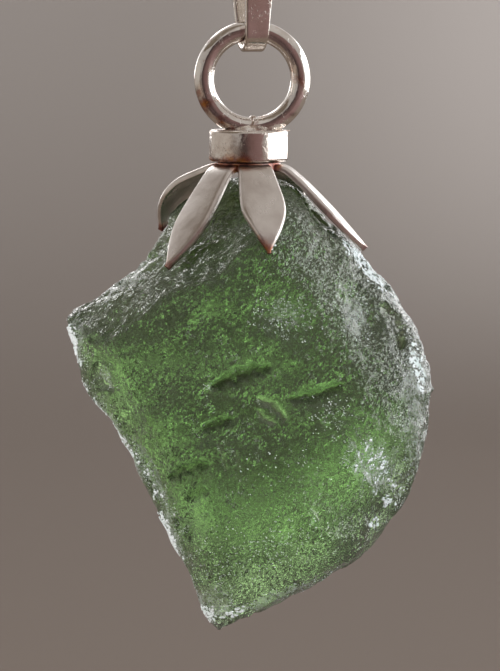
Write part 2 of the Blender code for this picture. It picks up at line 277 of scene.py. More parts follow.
tarnishLook = {
    "grainScale": 14.0,
    "grainShare": 0.16,
    "hueScale": 2.3,
    "level": 1.08,  # less a piece's reach, where its tarnish begins
    "edge": (-0.04, 0.22),  # about that level, from bare to full
    "colours": (
        (0.36, (0.16, 0.06, 0.05, 1)), (0.5, (0.44, 0.20, 0.155, 1)), (0.66, (0.58, 0.27, 0.09, 1)),
    ),
    "roughness": 0.16,  # added under the tarnish
}


def tarnishGroup():
    # Warm brown to orange tarnish that gathers in soft patches with a broken edge
    look = tarnishLook
    tree, given, out = newGroup(
        "warmTarnish", "ShaderNodeTree", {"Vector": (0, 0, 0), "Size": 1.0, "Reach": 0.5, "Extra": 0.0},
        {"Mask": "Float", "Colour": "Color"},
    )
    broad = noiseField(given["Vector"], given["Size"], 4.0)
    grain = noiseField(given["Vector"], look["grainScale"], 2.0)
    level = calc("ADD", calc("MULTIPLY_ADD", grain, look["grainShare"], broad), given["Extra"])
    start = calc("SUBTRACT", look["level"], given["Reach"])
    feed(out["Mask"], remap(calc("SUBTRACT", level, start), *look["edge"]))
    ramp = nextNode("ShaderNodeValToRGB", {0: noiseField(given["Vector"], look["hueScale"], 2.0)})
    stops = ramp.color_ramp.elements
    stops.new(0.5)
    for stop, (position, colour) in zip(stops, look["colours"]):
        stop.position = position
        stop.color = colour
    feed(out["Colour"], ramp.outputs[0])
    return tree


scratches = scratchGroup()
tarnish = tarnishGroup()


def silverMaterial(name, look, extra=None):
    # look: the piece's dictionary; extra builds a mask of more tarnish
    material, tree, shader = newMaterial(name)
    spot = scaled(objectPlace(tree), 1 / mm)
    wear = groupNode(scratches, Vector=spot, Fineness=look["scratchFineness"])
    stain = groupNode(
        tarnish, Vector=spot, Size=look["tarnishSize"], Reach=look["tarnishReach"],
        Extra=extra(spot) if extra else None,
    )
    smudge = noiseField(spot, look["smudgeSize"], 3.0)
    metal = mixColours(remap(smudge, 0.35, 0.7), look["bright"], look["dull"])
    colour = mixColours(stain.outputs["Mask"], metal, stain.outputs["Colour"])
    rough = remap(smudge, 0.3, 0.75, look["roughness"], look["roughness"] + look["roughnessSpread"])
    rough = calc("MULTIPLY_ADD", wear.outputs["Scratches"], scratchLook["roughness"], rough)
    rough = calc("MULTIPLY_ADD", stain.outputs["Mask"], tarnishLook["roughness"], rough)
    dents = times(wear.outputs["Dents"], look["dentDepth"])
    height = calc("MULTIPLY_ADD", wear.outputs["Scratches"], -look["scratchDepth"], dents)
    feedAll(shader, {"Base Color": colour, "Metallic": 1.0, "Roughness": rough, "Normal": bumped(height)})
    return material


# Stone

stoneLook = {
    "rounding": 2,  # levels that soften the solid's facets
    "voxel": 0.106 * mm,
    "smoothing": 4,
    "softness": 0.5,
    "bowlSize": 1.0,  # mm across the broad shallow bowls
    "bowlDepth": 0.03,  # mm
    "pitSize": 0.34,  # mm across the small pits
    "pitDepth": 0.045,  # mm
    "grooveLength": 0.7,  # mm
    "grooveWidth": 0.2,  # mm
    "grooveDepth": 0.05,  # mm
    "grooveTilt": math.radians(50),
    "chipSize": 0.85,  # mm across the chips along the edges
    "chipDepth": 0.26,  # mm
    "drift": 1.3,  # mm that the bowls and grooves wander
    "driftScale": 0.7,
    "bareScale": 0.33,  # of the places where the skin is shallower
    "edgeBlur": 7,
    "smoothFace": (-0.75, -0.54, -0.39),  # the way the smooth break on the lower left faces
    "smoothShare": 0.12,  # of the skin's depth that is left there
    "ior": 1.49,
    "transmission": 0.95,  # the rest is the dull bloom of the etched skin
    "clear": (0.50, 0.59, 0.43, 1.0),
    "shaded": (0.30, 0.36, 0.24, 1.0),
    "hollowShadeColour": (0.11, 0.13, 0.08, 1.0),
    "paintedGlint": (0.94, 1.0, 0.84, 1.0),
    "frostAndGlintColour": (0.80, 0.93, 0.76, 1.0),
    "absorb": (0.30, 0.55, 0.10, 1.0),
    "density": 250.0,  # per metre
    "clearRoughness": 0.06,
    "backRoughness": 0.18,
    "frostRoughness": 0.42,
    "coat": 0.05,
    "edgeFrost": 0.45,  # how frosted the sharp edges are
    "frostCoat": 0.7,
    "glossCoat": 0.6,
    "coatRoughness": 0.20,
    "sheen": 0.15,
    "sheenRoughness": 0.35,
    "fineDimples": 0.03,  # mm
    "flakeTilt": 0.80,  # how far the small facets of the skin lean
    "speckTilt": 0.60,
    "flakeScale": 11.0,
    "speckScale": 19.0,
    "glossCalm": 0.85,  # how far the facets are levelled there
    "frostCalm": 0.6,
    # The lists below are in mm from the stone's middle, across its front as it looks from a little
    # above, where its bulge makes it look a little larger
    "middle": (0.0, 0.0, -22.92),
    "slant": 5,  # degrees
    "spread": 1.02,
    # Hollows on the front: two ends (x, z), the bow between them, width and depth, and how dark the
    # shadow painted into them is, or below 0 how clean and glossy they are, with a painted glint
    "hollows": (
        ((-1.85, 0.70), (0.75, 1.60), 0.12, 0.85, 0.26, 0.9),
        ((1.75, 0.15), (4.20, 0.80), -0.10, 0.70, 0.20, 0.75),
        ((-2.30, -1.25), (-1.00, -0.80), 0.05, 0.60, 0.18, 0.8),
        ((-3.90, -3.60), (-2.10, -2.90), 0.12, 0.70, 0.20, 0.8),
        ((-3.05, -4.55), (-2.10, -4.20), 0.05, 0.60, 0.18, 0.7),
        ((-3.60, -5.60), (-2.90, -6.60), 0.15, 0.80, 0.16, 0.4),
        ((0.25, 0.15), (1.55, -0.85), 0.20, 0.50, 0.22, -1.0),
        ((0.30, -0.35), (1.10, -1.00), -0.15, 0.30, 0.16, -1.0),
        ((-7.40, 1.75), (-6.70, 0.60), -0.15, 0.80, 0.28, -1.0),
        ((-7.40, 2.40), (-6.60, 1.75), -0.20, 0.22, 0.12, 0.6),
        ((6.20, 4.55), (7.05, 2.60), 0.25, 0.75, 0.26, -1.0),
        ((-1.60, -1.80), (-1.20, -3.30), 0.05, 0.22, 0.12, -0.7),
        ((-0.80, -2.30), (-0.60, -3.10), 0.05, 0.18, 0.10, -0.7),
        ((4.60, -1.60), (5.30, -3.00), 0.15, 0.26, 0.14, -0.5),
        ((2.90, -5.00), (3.30, -6.00), 0.10, 0.20, 0.10, -0.7),
        ((-4.20, 8.60), (-4.00, 7.60), 0.10, 0.30, 0.12, -0.6),
        ((-2.60, -9.00), (-1.30, -9.70), 0.00, 0.80, 0.03, -0.6),
    ),
    # Frosted patches on the front, some of them painted glints of light: middle (x, z), half sizes, tilt in
    # degrees and strength
    "frostAndGlints": (
        ((-5.9, 6.0), (2.1, 0.55), 36, 0.8),
        ((1.6, 4.2), (1.2, 0.9), 0, 0.8),
        ((4.8, 4.2), (0.7, 1.2), 15, 0.8),
        ((5.8, -3.0), (1.6, 1.1), -45, 1.0),
        ((7.7, -0.2), (0.8, 3.8), 0, 0.7),
        ((5.9, 6.1), (2.1, 0.35), -50, 1.0),
        ((-1.8, -10.0), (1.3, 0.5), 15, 1.0),
        ((0.6, -9.5), (2.6, 0.24), 22, 0.9),
        ((-3.7, -6.8), (0.35, 2.0), 15, 1.0),
        ((-8.4, 3.0), (0.4, 1.1), 12, 1.0),
        ((3.8, -0.6), (0.9, 0.8), 20, 0.5),
        ((-1.95, 0.75), (0.25, 0.16), 20, 1.0),
        ((-5.85, -2.3), (3.9, 0.34), -56, 1.0),
        ((-1.7, -9.3), (1.1, 0.7), 20, 0.7),
        ((-2.75, -9.2), (1.2, 0.18), -66, 1.0),
        ((-7.05, 1.15), (0.42, 0.26), -60, 1.0),
        ((1.4, -6.6), (1.8, 1.0), 25, 0.35),
        ((-0.6, -7.4), (2.6, 1.6), 20, 0.22),
        ((1.2, -3.0), (2.0, 1.0), 10, 0.15),
    ),
    # Painted shade on the front: darker green patches, given in the same way
    "shades": (
        ((-6.6, 1.4), (1.1, 2.2), 12, 0.7),
        ((-5.1, -1.8), (4.3, 1.1), -66, 0.9),
        ((-2.6, 4.2), (3.0, 2.2), 20, 0.35),
        ((0.5, 7.0), (1.8, 2.2), 0, 0.3),
        ((-1.5, -0.6), (2.2, 0.8), 10, 0.5),
        ((-3.2, -3.6), (1.5, 1.2), 15, 0.4),
        ((2.0, -3.4), (2.4, 1.3), 10, 0.35),
    ),
    # Chalky crust along the edges, partly white bits put where glints show (painted highlights), given in the
    # same way
    "crustAndGlints": (
        ((-8.55, 2.95), (0.17, 0.75), 16, 1.0),
        ((-3.85, -6.85), (0.17, 1.55), 19, 1.0),
        ((-2.2, -10.1), (0.42, 0.30), 10, 0.6),
        ((-0.9, -10.1), (1.0, 0.16), 22, 0.4),
        ((-5.95, -2.15), (2.9, 0.09), -55, 0.4),
        ((5.9, -3.1), (1.4, 0.65), -58, 0.22),
        ((6.5, -4.8), (0.24, 0.2), 0, 0.7),
        ((5.9, -5.9), (0.22, 0.16), 0, 0.6),
        ((5.4, 6.4), (1.5, 0.22), -48, 0.6),
        ((5.3, 7.0), (0.3, 0.25), 0, 0.9),
        ((7.9, 1.6), (0.25, 1.1), 10, 0.6),
        ((0.95, 7.8), (0.16, 0.7), 8, 0.6),
    ),
    # A face of the stone carries crust or flecks where a draw from 0 to 1 is below share x mark - least
    "markShare": 0.9,
    "markLeast": 0.05,
    "crustBits": 2400,
    "crustSize": 0.065 * mm,
    "flecks": 9000,
    "fleckSize": 0.020 * mm,
    "crustSeed": 5,
}


# The skin tree's inputs, each named as its value in stoneLook
skinInputs = (
    "bowlSize", "bowlDepth", "pitSize", "pitDepth", "grooveLength", "grooveWidth", "grooveDepth",
    "grooveTilt", "chipSize", "chipDepth", "smoothFace",
)


def roundDips(distance, sharpness):
    # 1 in the middle of each cell, falling round to 0
    near = times(distance, sharpness)
    return calc("MAXIMUM", calc("SUBTRACT", 1.0, times(near, near)), 0.0)


def bowls(vector, given, kind):
    distance = cellField(vector, calc("DIVIDE", 1.0, given[kind + "Size"]), "Distance")
    return times(roundDips(distance, 1.5), given[kind + "Depth"])


def grooves(place, wavy, given):
    # Short dips that all lean much the same way; less than half of the cells have one
    wobble = times(noiseField(place, 0.25, 1.0), 1.1)
    tilted = turned(wavy, (0, 1, 0), calc("ADD", given["grooveTilt"], wobble))
    sizes = [given[name] for name in ("grooveLength", "grooveWidth", "grooveWidth")]
    shape = nextNode("ShaderNodeCombineXYZ", enumerate(calc("DIVIDE", 1.0, size) for size in sizes))
    cells = vectorCalc("MULTIPLY", tilted, shape.outputs[0])
    dip = roundDips(cellField(cells, 1.0, "Distance"), 1.9)
    draw = split(cellField(cells, 1.0, "Color"))[0]
    return times(times(dip, calc("GREATER_THAN", draw, 0.45)), given["grooveDepth"])


def skinTree(material):
    # Presses bowls, pits, grooves and edge chips into a smooth stone, and notes where its edges are
    look = stoneLook
    inputs = dict({"Geometry": None}, **{name: look[name] for name in skinInputs})
    tree, given, out = newGroup("moldaviteSkin", "GeometryNodeTree", inputs, {"Geometry": "Geometry"})
    normal = newNode(tree, "GeometryNodeInputNormal").outputs[0]
    place = scaled(newNode(tree, "GeometryNodeInputPosition").outputs[0], 1 / mm)
    drift = noiseField(place, look["driftScale"], 2.0, "Color")
    drift = vectorCalc("SUBTRACT", drift, (0.5, 0.5, 0.5))
    wavy = vectorCalc("ADD", place, scaled(drift, look["drift"]))

    inputs = {"Iterations": look["edgeBlur"]}
    blur = newNode(tree, "GeometryNodeBlurAttribute", inputs, data_type="FLOAT_VECTOR")
    feed(liveSockets(blur.inputs, "Value")[0], normal)
    # The sharper the edge, the shorter the mean of the normals about it
    edge = remap(vectorCalc("LENGTH", liveSockets(blur.outputs)[0]), 0.994, 0.955)
    frontal = calc("ABSOLUTE", split(normal)[1])

    facing = vectorCalc("DOT_PRODUCT", normal, vectorCalc("NORMALIZE", given["smoothFace"]))
    bare = remap(noiseField(place, look["bareScale"], 1.0), 0.36, 0.60, 0.35, 1.0)
    rough = times(remap(facing, 0.80, 0.97, 1.0, look["smoothShare"]), bare)

    skin = calc("ADD", bowls(wavy, given, "bowl"), bowls(wavy, given, "pit"))
    skin = times(calc("ADD", skin, grooves(place, wavy, given)), rough)
    chips = bowls(wavy, given, "chip")
    rim = times(remap(frontal, 0.62, 0.2), rough)
    skin = calc("ADD", skin, times(chips, calc("MAXIMUM", edge, rim)))

    inputs = {"Geometry": given["Geometry"], "Name": "edgeWearAndSheen"}
    store = nextNode("GeometryNodeStoreNamedAttribute", inputs, data_type="FLOAT", domain="POINT")
    feed(liveSockets(store.inputs, "Value")[0], edge)
    inward = scaled(normal, times(skin, -mm))
    move = nextNode("GeometryNodeSetPosition", {"Geometry": store.outputs[0], "Offset": inward})
    endTree(move.outputs[0], material, out)
    return tree


def facetGroup():
    # The skin's tiny facets: each cell of two sizes leans its own way, the larger ones in streaks
    tree, given, out = newGroup(
        "skinFacets", "ShaderNodeTree",
        {"Vector": (0, 0, 0), "Normal": (0, 0, 0), "Tilt": 0.9, "Flakes": 0.5, "Specks": 0.3, "Amount": 1.0},
        {"Normal": "Vector"},
    )
    streaks = vectorCalc("MULTIPLY", turned(given["Vector"], (0, 1, 0), given["Tilt"]), (0.5, 1, 1))
    leaning = given["Normal"]
    for vector, scale, share in (
        (streaks, stoneLook["flakeScale"], given["Flakes"]),
        (given["Vector"], stoneLook["speckScale"], given["Specks"]),
    ):
        way = vectorCalc("SUBTRACT", cellField(vector, scale, "Color"), (0.5, 0.5, 0.5))
        way = scaled(way, times(share, given["Amount"]))
        leaning = vectorCalc("ADD", leaning, way)
    feed(out["Normal"], vectorCalc("NORMALIZE", leaning))
    return tree


def glassMaterial():
    look = stoneLook
    material, tree, shader = newMaterial("moldaviteGlass")
    spot = scaled(objectPlace(tree), 1 / mm)
    edges, hollowShade, glossAndGlint, frostAndGlint, shade = [
        storedMark(tree, name) for name in ("edgeWearAndSheen", "hollowShade", "glossAndGlint", "frostAndGlint", "shade")
    ]
    grain = times(calc("ADD", noiseField(spot, 3.2, 3.0), noiseField(spot, 15.0, 2.0)), 0.5)
    # bloom: frost on the sharp edges and in the frosted patches; it roughens the glass and adds coat, and its
    # pale colour is partly painted sheen and glints
    bloom = times(calc("MULTIPLY_ADD", edges, look["edgeFrost"], frostAndGlint), remap(grain, 0.40, 0.60, 0.15, 1.35))
    bloom = remap(bloom, 0.08, 1.15)
    # Clear places are smooth and frosted ones rough; the back blurs what is seen through the stone
    uneven = calc("MULTIPLY_ADD", noiseField(spot, 7.0, 3.0), 0.3, bloom)
    rough = remap(uneven, 0.1, 1.1, look["clearRoughness"], look["frostRoughness"])
    back = remap(split(spot)[1], -0.5, 1.5, 0.0, look["backRoughness"])
    # Painted shade: the shade patches darken the green, broken up by noise
    shade = times(shade, remap(noiseField(spot, 1.1, 3.0), 0.3, 0.6, 0.4, 1.1))
    colour = mixColours(shade, look["clear"], look["shaded"])
    # Frosted places are painted pale: partly real frosting, partly painted sheen
    colour = mixColours(bloom, colour, look["frostAndGlintColour"])
    # Painted glint: glossy hollows are painted near white, besides their real coat and calmer facets
    colour = mixColours(glossAndGlint, colour, look["paintedGlint"])
    coat = calc("MULTIPLY_ADD", bloom, look["frostCoat"], look["coat"])
    dimples = times(cellField(spot, 5.0, "Distance"), look["fineDimples"])
    # The facets are calmer where the glass is glossy or frosted
    calm = times(calc("MULTIPLY_ADD", glossAndGlint, -look["glossCalm"], 1.0),
                 calc("MULTIPLY_ADD", bloom, -look["frostCalm"], 1.0))
    amount = remap(noiseField(spot, 1.9, 3.0), 0.38, 0.64, 0.45, 1.35)
    facets = groupNode(
        facetGroup(), Vector=spot, Normal=bumped(dimples, 0.8), Tilt=look["grooveTilt"],
        Flakes=look["flakeTilt"], Specks=look["speckTilt"], Amount=times(amount, calm),
    )
    # The base colour takes the hollows' painted shade
    feedAll(shader, {
        "Base Color": mixColours(hollowShade, colour, look["hollowShadeColour"]), "Roughness": calc("ADD", rough, back),
        "IOR": look["ior"], "Transmission Weight": look["transmission"],
        "Coat Weight": calc("MULTIPLY_ADD", glossAndGlint, look["glossCoat"], coat),
        "Coat Roughness": look["coatRoughness"], "Sheen Weight": look["sheen"],
        "Sheen Roughness": look["sheenRoughness"], "Normal": facets.outputs[0],
    })
    depth = newNode(tree, "ShaderNodeVolumeAbsorption", {"Color": look["absorb"], "Density": look["density"]})
    feed(tree.nodes["Material Output"].inputs["Volume"], depth.outputs[0])
    return material


def vertexValues(mesh, name):
    values = np.empty(len(mesh.vertices) * 3)
    mesh.vertices.foreach_get(name, values)
    return values.reshape(-1, 3)


def frontPlaces(points):
    # Where the points lie across the front, in the way that the lists in stoneLook give places
    slant = math.radians(stoneLook["slant"])
    away = points / mm - np.array(stoneLook["middle"])
    flat = np.stack([away[:, 0], away @ np.array((0, math.sin(slant), math.cos(slant)))], axis=1)
    return flat * stoneLook["spread"]


def hollowShare(flat, start, end, bow, width):
    # 1 along the middle of a bowed hollow, falling round to 0 at its ragged edge
    start, end = np.array(start), np.array(end)
    along = end - start
    length = np.linalg.norm(along)
    across = np.array((-along[1], along[0])) / length
    share = (flat - start) @ along / length**2
    held = np.clip(share, 0, 1)
    side = (flat - start) @ across - bow * 4 * held * (1 - held)
    beyond = np.abs(share - held) * length
    # Two waves along it make the edge uneven, and it narrows to its ends
    ragged = 1 + 0.22 * np.sin(share * length * 9 + side * 5) + 0.14 * np.sin(share * length * 23 + 2)
    tapered = width / 2 * (0.35 + 0.65 * np.sqrt(4 * held * (1 - held)))
    near = np.hypot(side, beyond) / (ragged * tapered)
    return np.clip(1 - near * near, 0, 1)


def patchShare(flat, patches, broken):
    # The strongest of a list of oval patches, whose outlines are broken
    strongest = np.zeros(len(flat))
    for centre, halves, tilt, strength in patches:
        turn = math.radians(tilt)
        away = flat - np.array(centre)
        along = (away @ np.array((math.cos(turn), math.sin(turn)))) / halves[0]
        across = (away @ np.array((-math.sin(turn), math.cos(turn)))) / halves[1]
        share = np.clip(1.6 - 1.2 * broken * np.hypot(along, across), 0, 1) * strength
        strongest = np.maximum(strongest, share)
    return strongest


def markFront(stone):
    # Presses the front's own hollows into the fine mesh, and stores the marks that the materials read
    look = stoneLook
    points, normals = vertexValues(stone.data, "co"), vertexValues(stone.data, "normal")
    flat = frontPlaces(points)
    # Only faces that look forward take the hollows
    ahead = np.clip(-normals[:, 1] * 3, 0, 1) * (points[:, 1] < 0)
    marks = {"hollowShade": np.zeros(len(points)), "glossAndGlint": np.zeros(len(points))}
    for start, end, bow, width, depth, shadeOrGlint in look["hollows"]:
        press = hollowShare(flat, start, end, bow, width) * ahead
        # Above 0 the hollow gets painted shade, a dark colour in place of its shadow; below 0 it turns glossy
        # and gets a painted glint
        if shadeOrGlint > 0:
            marks["hollowShade"] = np.maximum(marks["hollowShade"], np.sqrt(press) * shadeOrGlint)
        else:
            marks["glossAndGlint"] = np.maximum(marks["glossAndGlint"], np.clip(press * 3, 0, 1) * -shadeOrGlint)
            press = np.clip(press * 1.7, 0, 1) ** 1.5
        points -= normals * (press * depth * mm)[:, None]
    # The patches fade over the sides and end before the back
    fade = np.clip(0.9 - points[:, 1] / mm * 0.35, 0, 1) * (normals[:, 1] < 0.5)
    broken = 1 + 0.4 * np.sin(points @ (4.1, 6.3, 2.7) / mm) * np.sin(points @ (-2.9, 4.7, 5.9) / mm)
    for name in ("frostAndGlint", "shade", "crustAndGlint"):
        marks[name] = patchShare(flat, look[name + "s"], broken) * fade
    stone.data.vertices.foreach_set("co", points.ravel())
    for name, values in marks.items():
        mark = stone.data.attributes.new(name, "FLOAT", "POINT")
        mark.data.foreach_set("value", values)
    stone.data.update()


def makeStone(material):
    look = stoneLook
    bm = bmesh.new()
    bm.from_mesh(nodes["stone"].data)
    bmesh.ops.remove_doubles(bm, verts=bm.verts, dist=0.001 * mm)
    stone = newPiece("moldavite_stone", bm, material)
    levels = look["rounding"]
    setAll(stone.modifiers.new("rounder", "SUBSURF"), levels=levels, render_levels=levels)
    even = stone.modifiers.new("even_grid", "REMESH")
    setAll(even, mode="VOXEL", voxel_size=look["voxel"], use_smooth_shade=True)
    soft = stone.modifiers.new("softer", "SMOOTH")
    setAll(soft, factor=look["softness"], iterations=look["smoothing"])
    skin = setAll(stone.modifiers.new("skin", "NODES"), node_group=skinTree(material))
    setInputs(skin, {name: look[name] for name in skinInputs})
    applyModifiers(stone)
    markFront(stone)
    stone.data.shade_smooth()
    return stone


def grainTree(name, material):
    # Small bits scattered over a surface, which is kept or left out
    tree, given, out = newGroup(
        name, "GeometryNodeTree",
        {
            "Geometry": None, "Count": 200, "Grain size": 0.05 * mm, "Seed": 1, "Area": 1.0,
            "Keep surface": True, "Smallest": (0.45, 0.45, 0.45),
            "Largest": (1.25, 1.25, 1.25),
        },
        {"Geometry": "Geometry"},
    )
    density = calc("DIVIDE", given["Count"], given["Area"])
    spread = nextNode("GeometryNodeDistributePointsOnFaces", {
        "Mesh": given["Geometry"], "Density": density, "Seed": given["Seed"],
    })
    bead = nextNode("GeometryNodeMeshIcoSphere", {"Radius": given["Grain size"], "Subdivisions": 1})
    size = nextNode("FunctionNodeRandomValue", {"Seed": given["Seed"]}, data_type="FLOAT_VECTOR")
    for socket, end in zip(liveSockets(size.inputs), ("Smallest", "Largest")):
        feed(socket, given[end])
    place = nextNode("GeometryNodeInstanceOnPoints", {
        "Points": spread.outputs["Points"], "Instance": bead.outputs["Mesh"],
        "Rotation": spread.outputs["Rotation"], "Scale": liveSockets(size.outputs)[0],
    })
    inputs = {"Switch": given["Keep surface"], "True": given["Geometry"]}
    kept = nextNode("GeometryNodeSwitch", inputs, input_type="GEOMETRY")
    join = nextNode("GeometryNodeJoinGeometry", {0: place.outputs[0]})
    feed(join.inputs[0], kept.outputs[0])
    endTree(join.outputs[0], material, out)
    return tree


def scatter(piece, name, material, values):
    grains = setAll(piece.modifiers.new("grains", "NODES"), node_group=grainTree(name, material))
    setInputs(grains, dict(values, Area=sum(face.area for face in piece.data.polygons)))
    return applyModifiers(piece)


crustAndGlintLook = {
    "grey": (0.82, 0.91, 0.89, 1),
    "white": (0.94, 0.98, 1.0, 1),
    "roughness": (0.2, 0.6),
    "grainDepth": 0.03,  # mm
    "transmission": 0.1,
}


def crustAndGlintMaterial():
    look = crustAndGlintLook
    material, tree, shader = newMaterial("chalkyCrustAndGlints")
    spot = scaled(objectPlace(tree), 1 / mm)
    tone = remap(noiseField(spot, 2.4, 3.0), 0.35, 0.65)
    grain = times(noiseField(spot, 16.0, 2.0), look["grainDepth"])
    feedAll(shader, {
        "Base Color": mixColours(tone, look["grey"], look["white"]),
        "Roughness": remap(noiseField(spot, 9.0, 2.0), 0.3, 0.7, *look["roughness"]),
        "Transmission Weight": look["transmission"], "Normal": bumped(grain, 0.6),
    })
    return material


def makeCrustAndGlints(stone, name, mark, values):
    # Bits on the part of the stone that carries a mark, denser where the mark is stronger
    look = stoneLook
    strength = np.empty(len(stone.data.vertices))
    stone.data.attributes[mark].data.foreach_get("value", strength)
    bm = bmesh.new()
    bm.from_mesh(stone.data)
    draws = np.random.default_rng(look["crustSeed"]).random(len(bm.faces)) + look["markLeast"]
    strength *= look["markShare"]
    off = [face for face, draw in zip(bm.faces, draws) if strength[face.verts[0].index] < draw]
    bmesh.ops.delete(bm, geom=off, context="FACES")
    material = crustAndGlintMaterial()
    crustAndGlint = newPiece(name, bm, material)
    values = dict(values, **{"Keep surface": False, "Seed": look["crustSeed"]})
    scatter(crustAndGlint, name + "Bits", material, values)
    crustAndGlint.data.shade_flat()
    return crustAndGlint


print("stone")
stone = makeStone(glassMaterial())
finishPiece(stone, "pendant", "stone")
# White bits: partly chalky crust, partly painted highlights on the bright edges and glint spots
crustAndGlint = makeCrustAndGlints(stone, "edge_crust_and_glints", "crustAndGlint", {
    "Count": stoneLook["crustBits"], "Grain size": stoneLook["crustSize"],
    "Smallest": (0.4, 0.4, 0.3), "Largest": (1.6, 1.3, 0.9),
})
finishPiece(crustAndGlint, "pendant", None)
# Painted glints: white flecks over the frosted patches
flecks = makeCrustAndGlints(stone, "glint_flecks", "frostAndGlint", {
    "Count": stoneLook["flecks"], "Grain size": stoneLook["fleckSize"],
    "Smallest": (0.4, 0.4, 0.3), "Largest": (1.7, 1.3, 0.7),
})
finishPiece(flecks, "pendant", None)


# Petal cap

capLook = {
    # Degrees from the front towards the right, and mm long
    "petals": ((11, 5.5), (84, 5.9), (156, 5.7), (229, 5.7), (312, 6.1)),
    "start": 1.05 * mm,
    "bend": 1.62 * mm,
    "halfWidth": 1.04 * mm,
    "base": 0.76,
    "widest": 0.56,
    "point": 1.72,
    "tip": 0.07,
    "crown": 0.09 * mm,
    "crownStart": 0.3,
    "gap": 0.16 * mm,
    "sheet": 0.32 * mm,
    "collarGap": 0.06 * mm,
    "discThickness": 0.4 * mm,
    "discRadius": 1.5 * mm,
    "discSides": 96,
    "outerRounding": 0.15 * mm,
    "innerRounding": 0.05 * mm,
    "roundingShare": 0.7,  # of half the width, at most, near the tip
    "roundingPoints": 5,
    "rows": 48,
    "columns": 12,
    # The stone's shoulder is felt with rays from a point below its top, side by side under each petal
    "rayDepth": 4 * mm,
    "rays": 5,
    "raysWidth": 0.75,  # of a petal's
    "overhang": 131,  # degrees from straight up
    "pathPoints": 60,
    "pathSmoothing": 12,
    "tipTarnish": 0.31,
    "baseTarnish": 0.30,
    "bright": (0.80, 0.76, 0.72, 1),
    "dull": (0.66, 0.61, 0.57, 1),
    "roughness": 0.26,
    "roughnessSpread": 0.14,
    "scratchFineness": 11.0,
    "scratchDepth": 0.004,
    "dentDepth": 0.034,
    "smudgeSize": 0.8,
    "tarnishSize": 0.55,
    "tarnishReach": 0.34,
}
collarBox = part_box("collar")
collarX = (collarBox[0].x + collarBox[1].x) / 2
discTop = collarBox[0].z - capLook["collarGap"]
stoneTree = BVHTree.FromPolygons(
    [v.co for v in nodes["stone"].data.vertices],
    [tuple(face.vertices) for face in nodes["stone"].data.polygons],
)


def petalPath(facing, sideways, length):
    # The sheet's underside along one petal: how far from the axis, and how high
    look = capLook
    inside = Vector((collarX, 0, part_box("stone")[1].z - look["rayDepth"]))
    touched = []
    for offset in np.linspace(-1, 1, look["rays"]) * look["raysWidth"] * look["halfWidth"]:
        for lean in np.radians(np.arange(0, look["overhang"], 2)):
            way = facing * math.sin(lean) + Vector((0, 0, math.cos(lean)))
            hit = stoneTree.ray_cast(inside + sideways * offset, way)[0]
            touched.append(((hit - inside).dot(facing), hit.z))
    touched = np.array(touched)
    level = discTop - look["discThickness"] + (look["discThickness"] - look["sheet"]) / 2
    bend = np.array((look["bend"], level))
    path = [np.array((look["start"], level)), bend]
    for lean in np.radians(np.arange(4, look["overhang"], 1)):
        outward = np.array((math.sin(lean), math.cos(lean)))
        highest = touched[np.argmax(touched @ outward)] + outward * look["gap"]
        if highest @ outward > bend @ outward and highest[0] > path[-1][0]:
            path.append(highest)
    straight = path[-1] - path[-2]
    path.append(path[-1] + straight / np.linalg.norm(straight) * length)
    path = np.array(path)
    lengths = np.concatenate([[0], np.cumsum(np.linalg.norm(np.diff(path, axis=0), axis=1))])
    even = np.linspace(0, length, look["pathPoints"])
    smooth = np.stack([np.interp(even, lengths, path[:, i]) for i in (0, 1)], axis=1)
    for _ in range(look["pathSmoothing"]):
        smooth[1:-1] = (smooth[:-2] + 2 * smooth[1:-1] + smooth[2:]) / 4
    return even / length, smooth


def petalWidth(share):
    # Half the width: it swells from the base, then closes to a rounded point
    look = capLook
    if share < look["widest"]:
        rise = share / look["widest"]
        return look["halfWidth"] * (look["base"] + (1 - look["base"]) * rise * rise * (3 - 2 * rise))
    closing = (share - look["widest"]) / (1 - look["widest"])
    return look["halfWidth"] * max(look["tip"], 1 - closing ** look["point"])


def addPetal(bm, along, turn, length):
    look = capLook
    facing = Vector((math.sin(turn), -math.cos(turn), 0))
    sideways = Vector((math.cos(turn), math.sin(turn), 0))
    shares, path = petalPath(facing, sideways, length)
    slopes = np.gradient(path, axis=0)
    rings = []
    for share in np.linspace(0, 1, look["rows"] + 1):
        away, height = (np.interp(share, shares, path[:, i]) for i in (0, 1))
        run, drop = (np.interp(share, shares, slopes[:, i]) for i in (0, 1))
        outward = (facing * -drop + Vector((0, 0, run))).normalized()
        middle = Vector((collarX, 0, height)) + facing * away
        half = petalWidth(share)
        rise = look["crown"] * min(1, share / look["crownStart"]) * (half / look["halfWidth"]) ** 2
        ring = []
        for side, lift in petalSection(half):
            crown = rise * (1 - (side / half) ** 2)
            vertex = bm.verts.new(middle + sideways * side + outward * (crown + lift))
            vertex[along] = share
            ring.append(vertex)
        rings.append(ring)
    bridge(bm, rings)
    bm.faces.new(rings[0][::-1])
    bm.faces.new(rings[-1])


def petalSection(half):
    # The sheet's cut across, once round: over the outer face, then back along the inner one
    look = capLook
    section = []
    for rounding, level, way in ((look["outerRounding"], look["sheet"], 1), (look["innerRounding"], 0, -1)):
        bend = min(rounding, half * look["roundingShare"])
        corner = [(bend * (1 - math.cos(turn)), bend * (1 - math.sin(turn)))
                  for turn in np.linspace(0, math.pi / 2, look["roundingPoints"])]
        flat = np.linspace(-half + bend, half - bend, look["columns"] + 1)[1:-1]
        edge = [(-half + inset, level - way * drop) for inset, drop in corner]
        face = edge + [(side, level) for side in flat] + [(-side, lift) for side, lift in reversed(edge)]
        section += face if way > 0 else list(reversed(face))
    return section


def petalTips(spot):
    # More tarnish at the tips and the roots of the petals
    along = storedMark(spot.id_data, "alongPetal")
    tips = remap(along, 0.80, 1.0, 0.0, capLook["tipTarnish"])
    return calc("ADD", tips, remap(along, 0.15, 0.04, 0.0, capLook["baseTarnish"]))


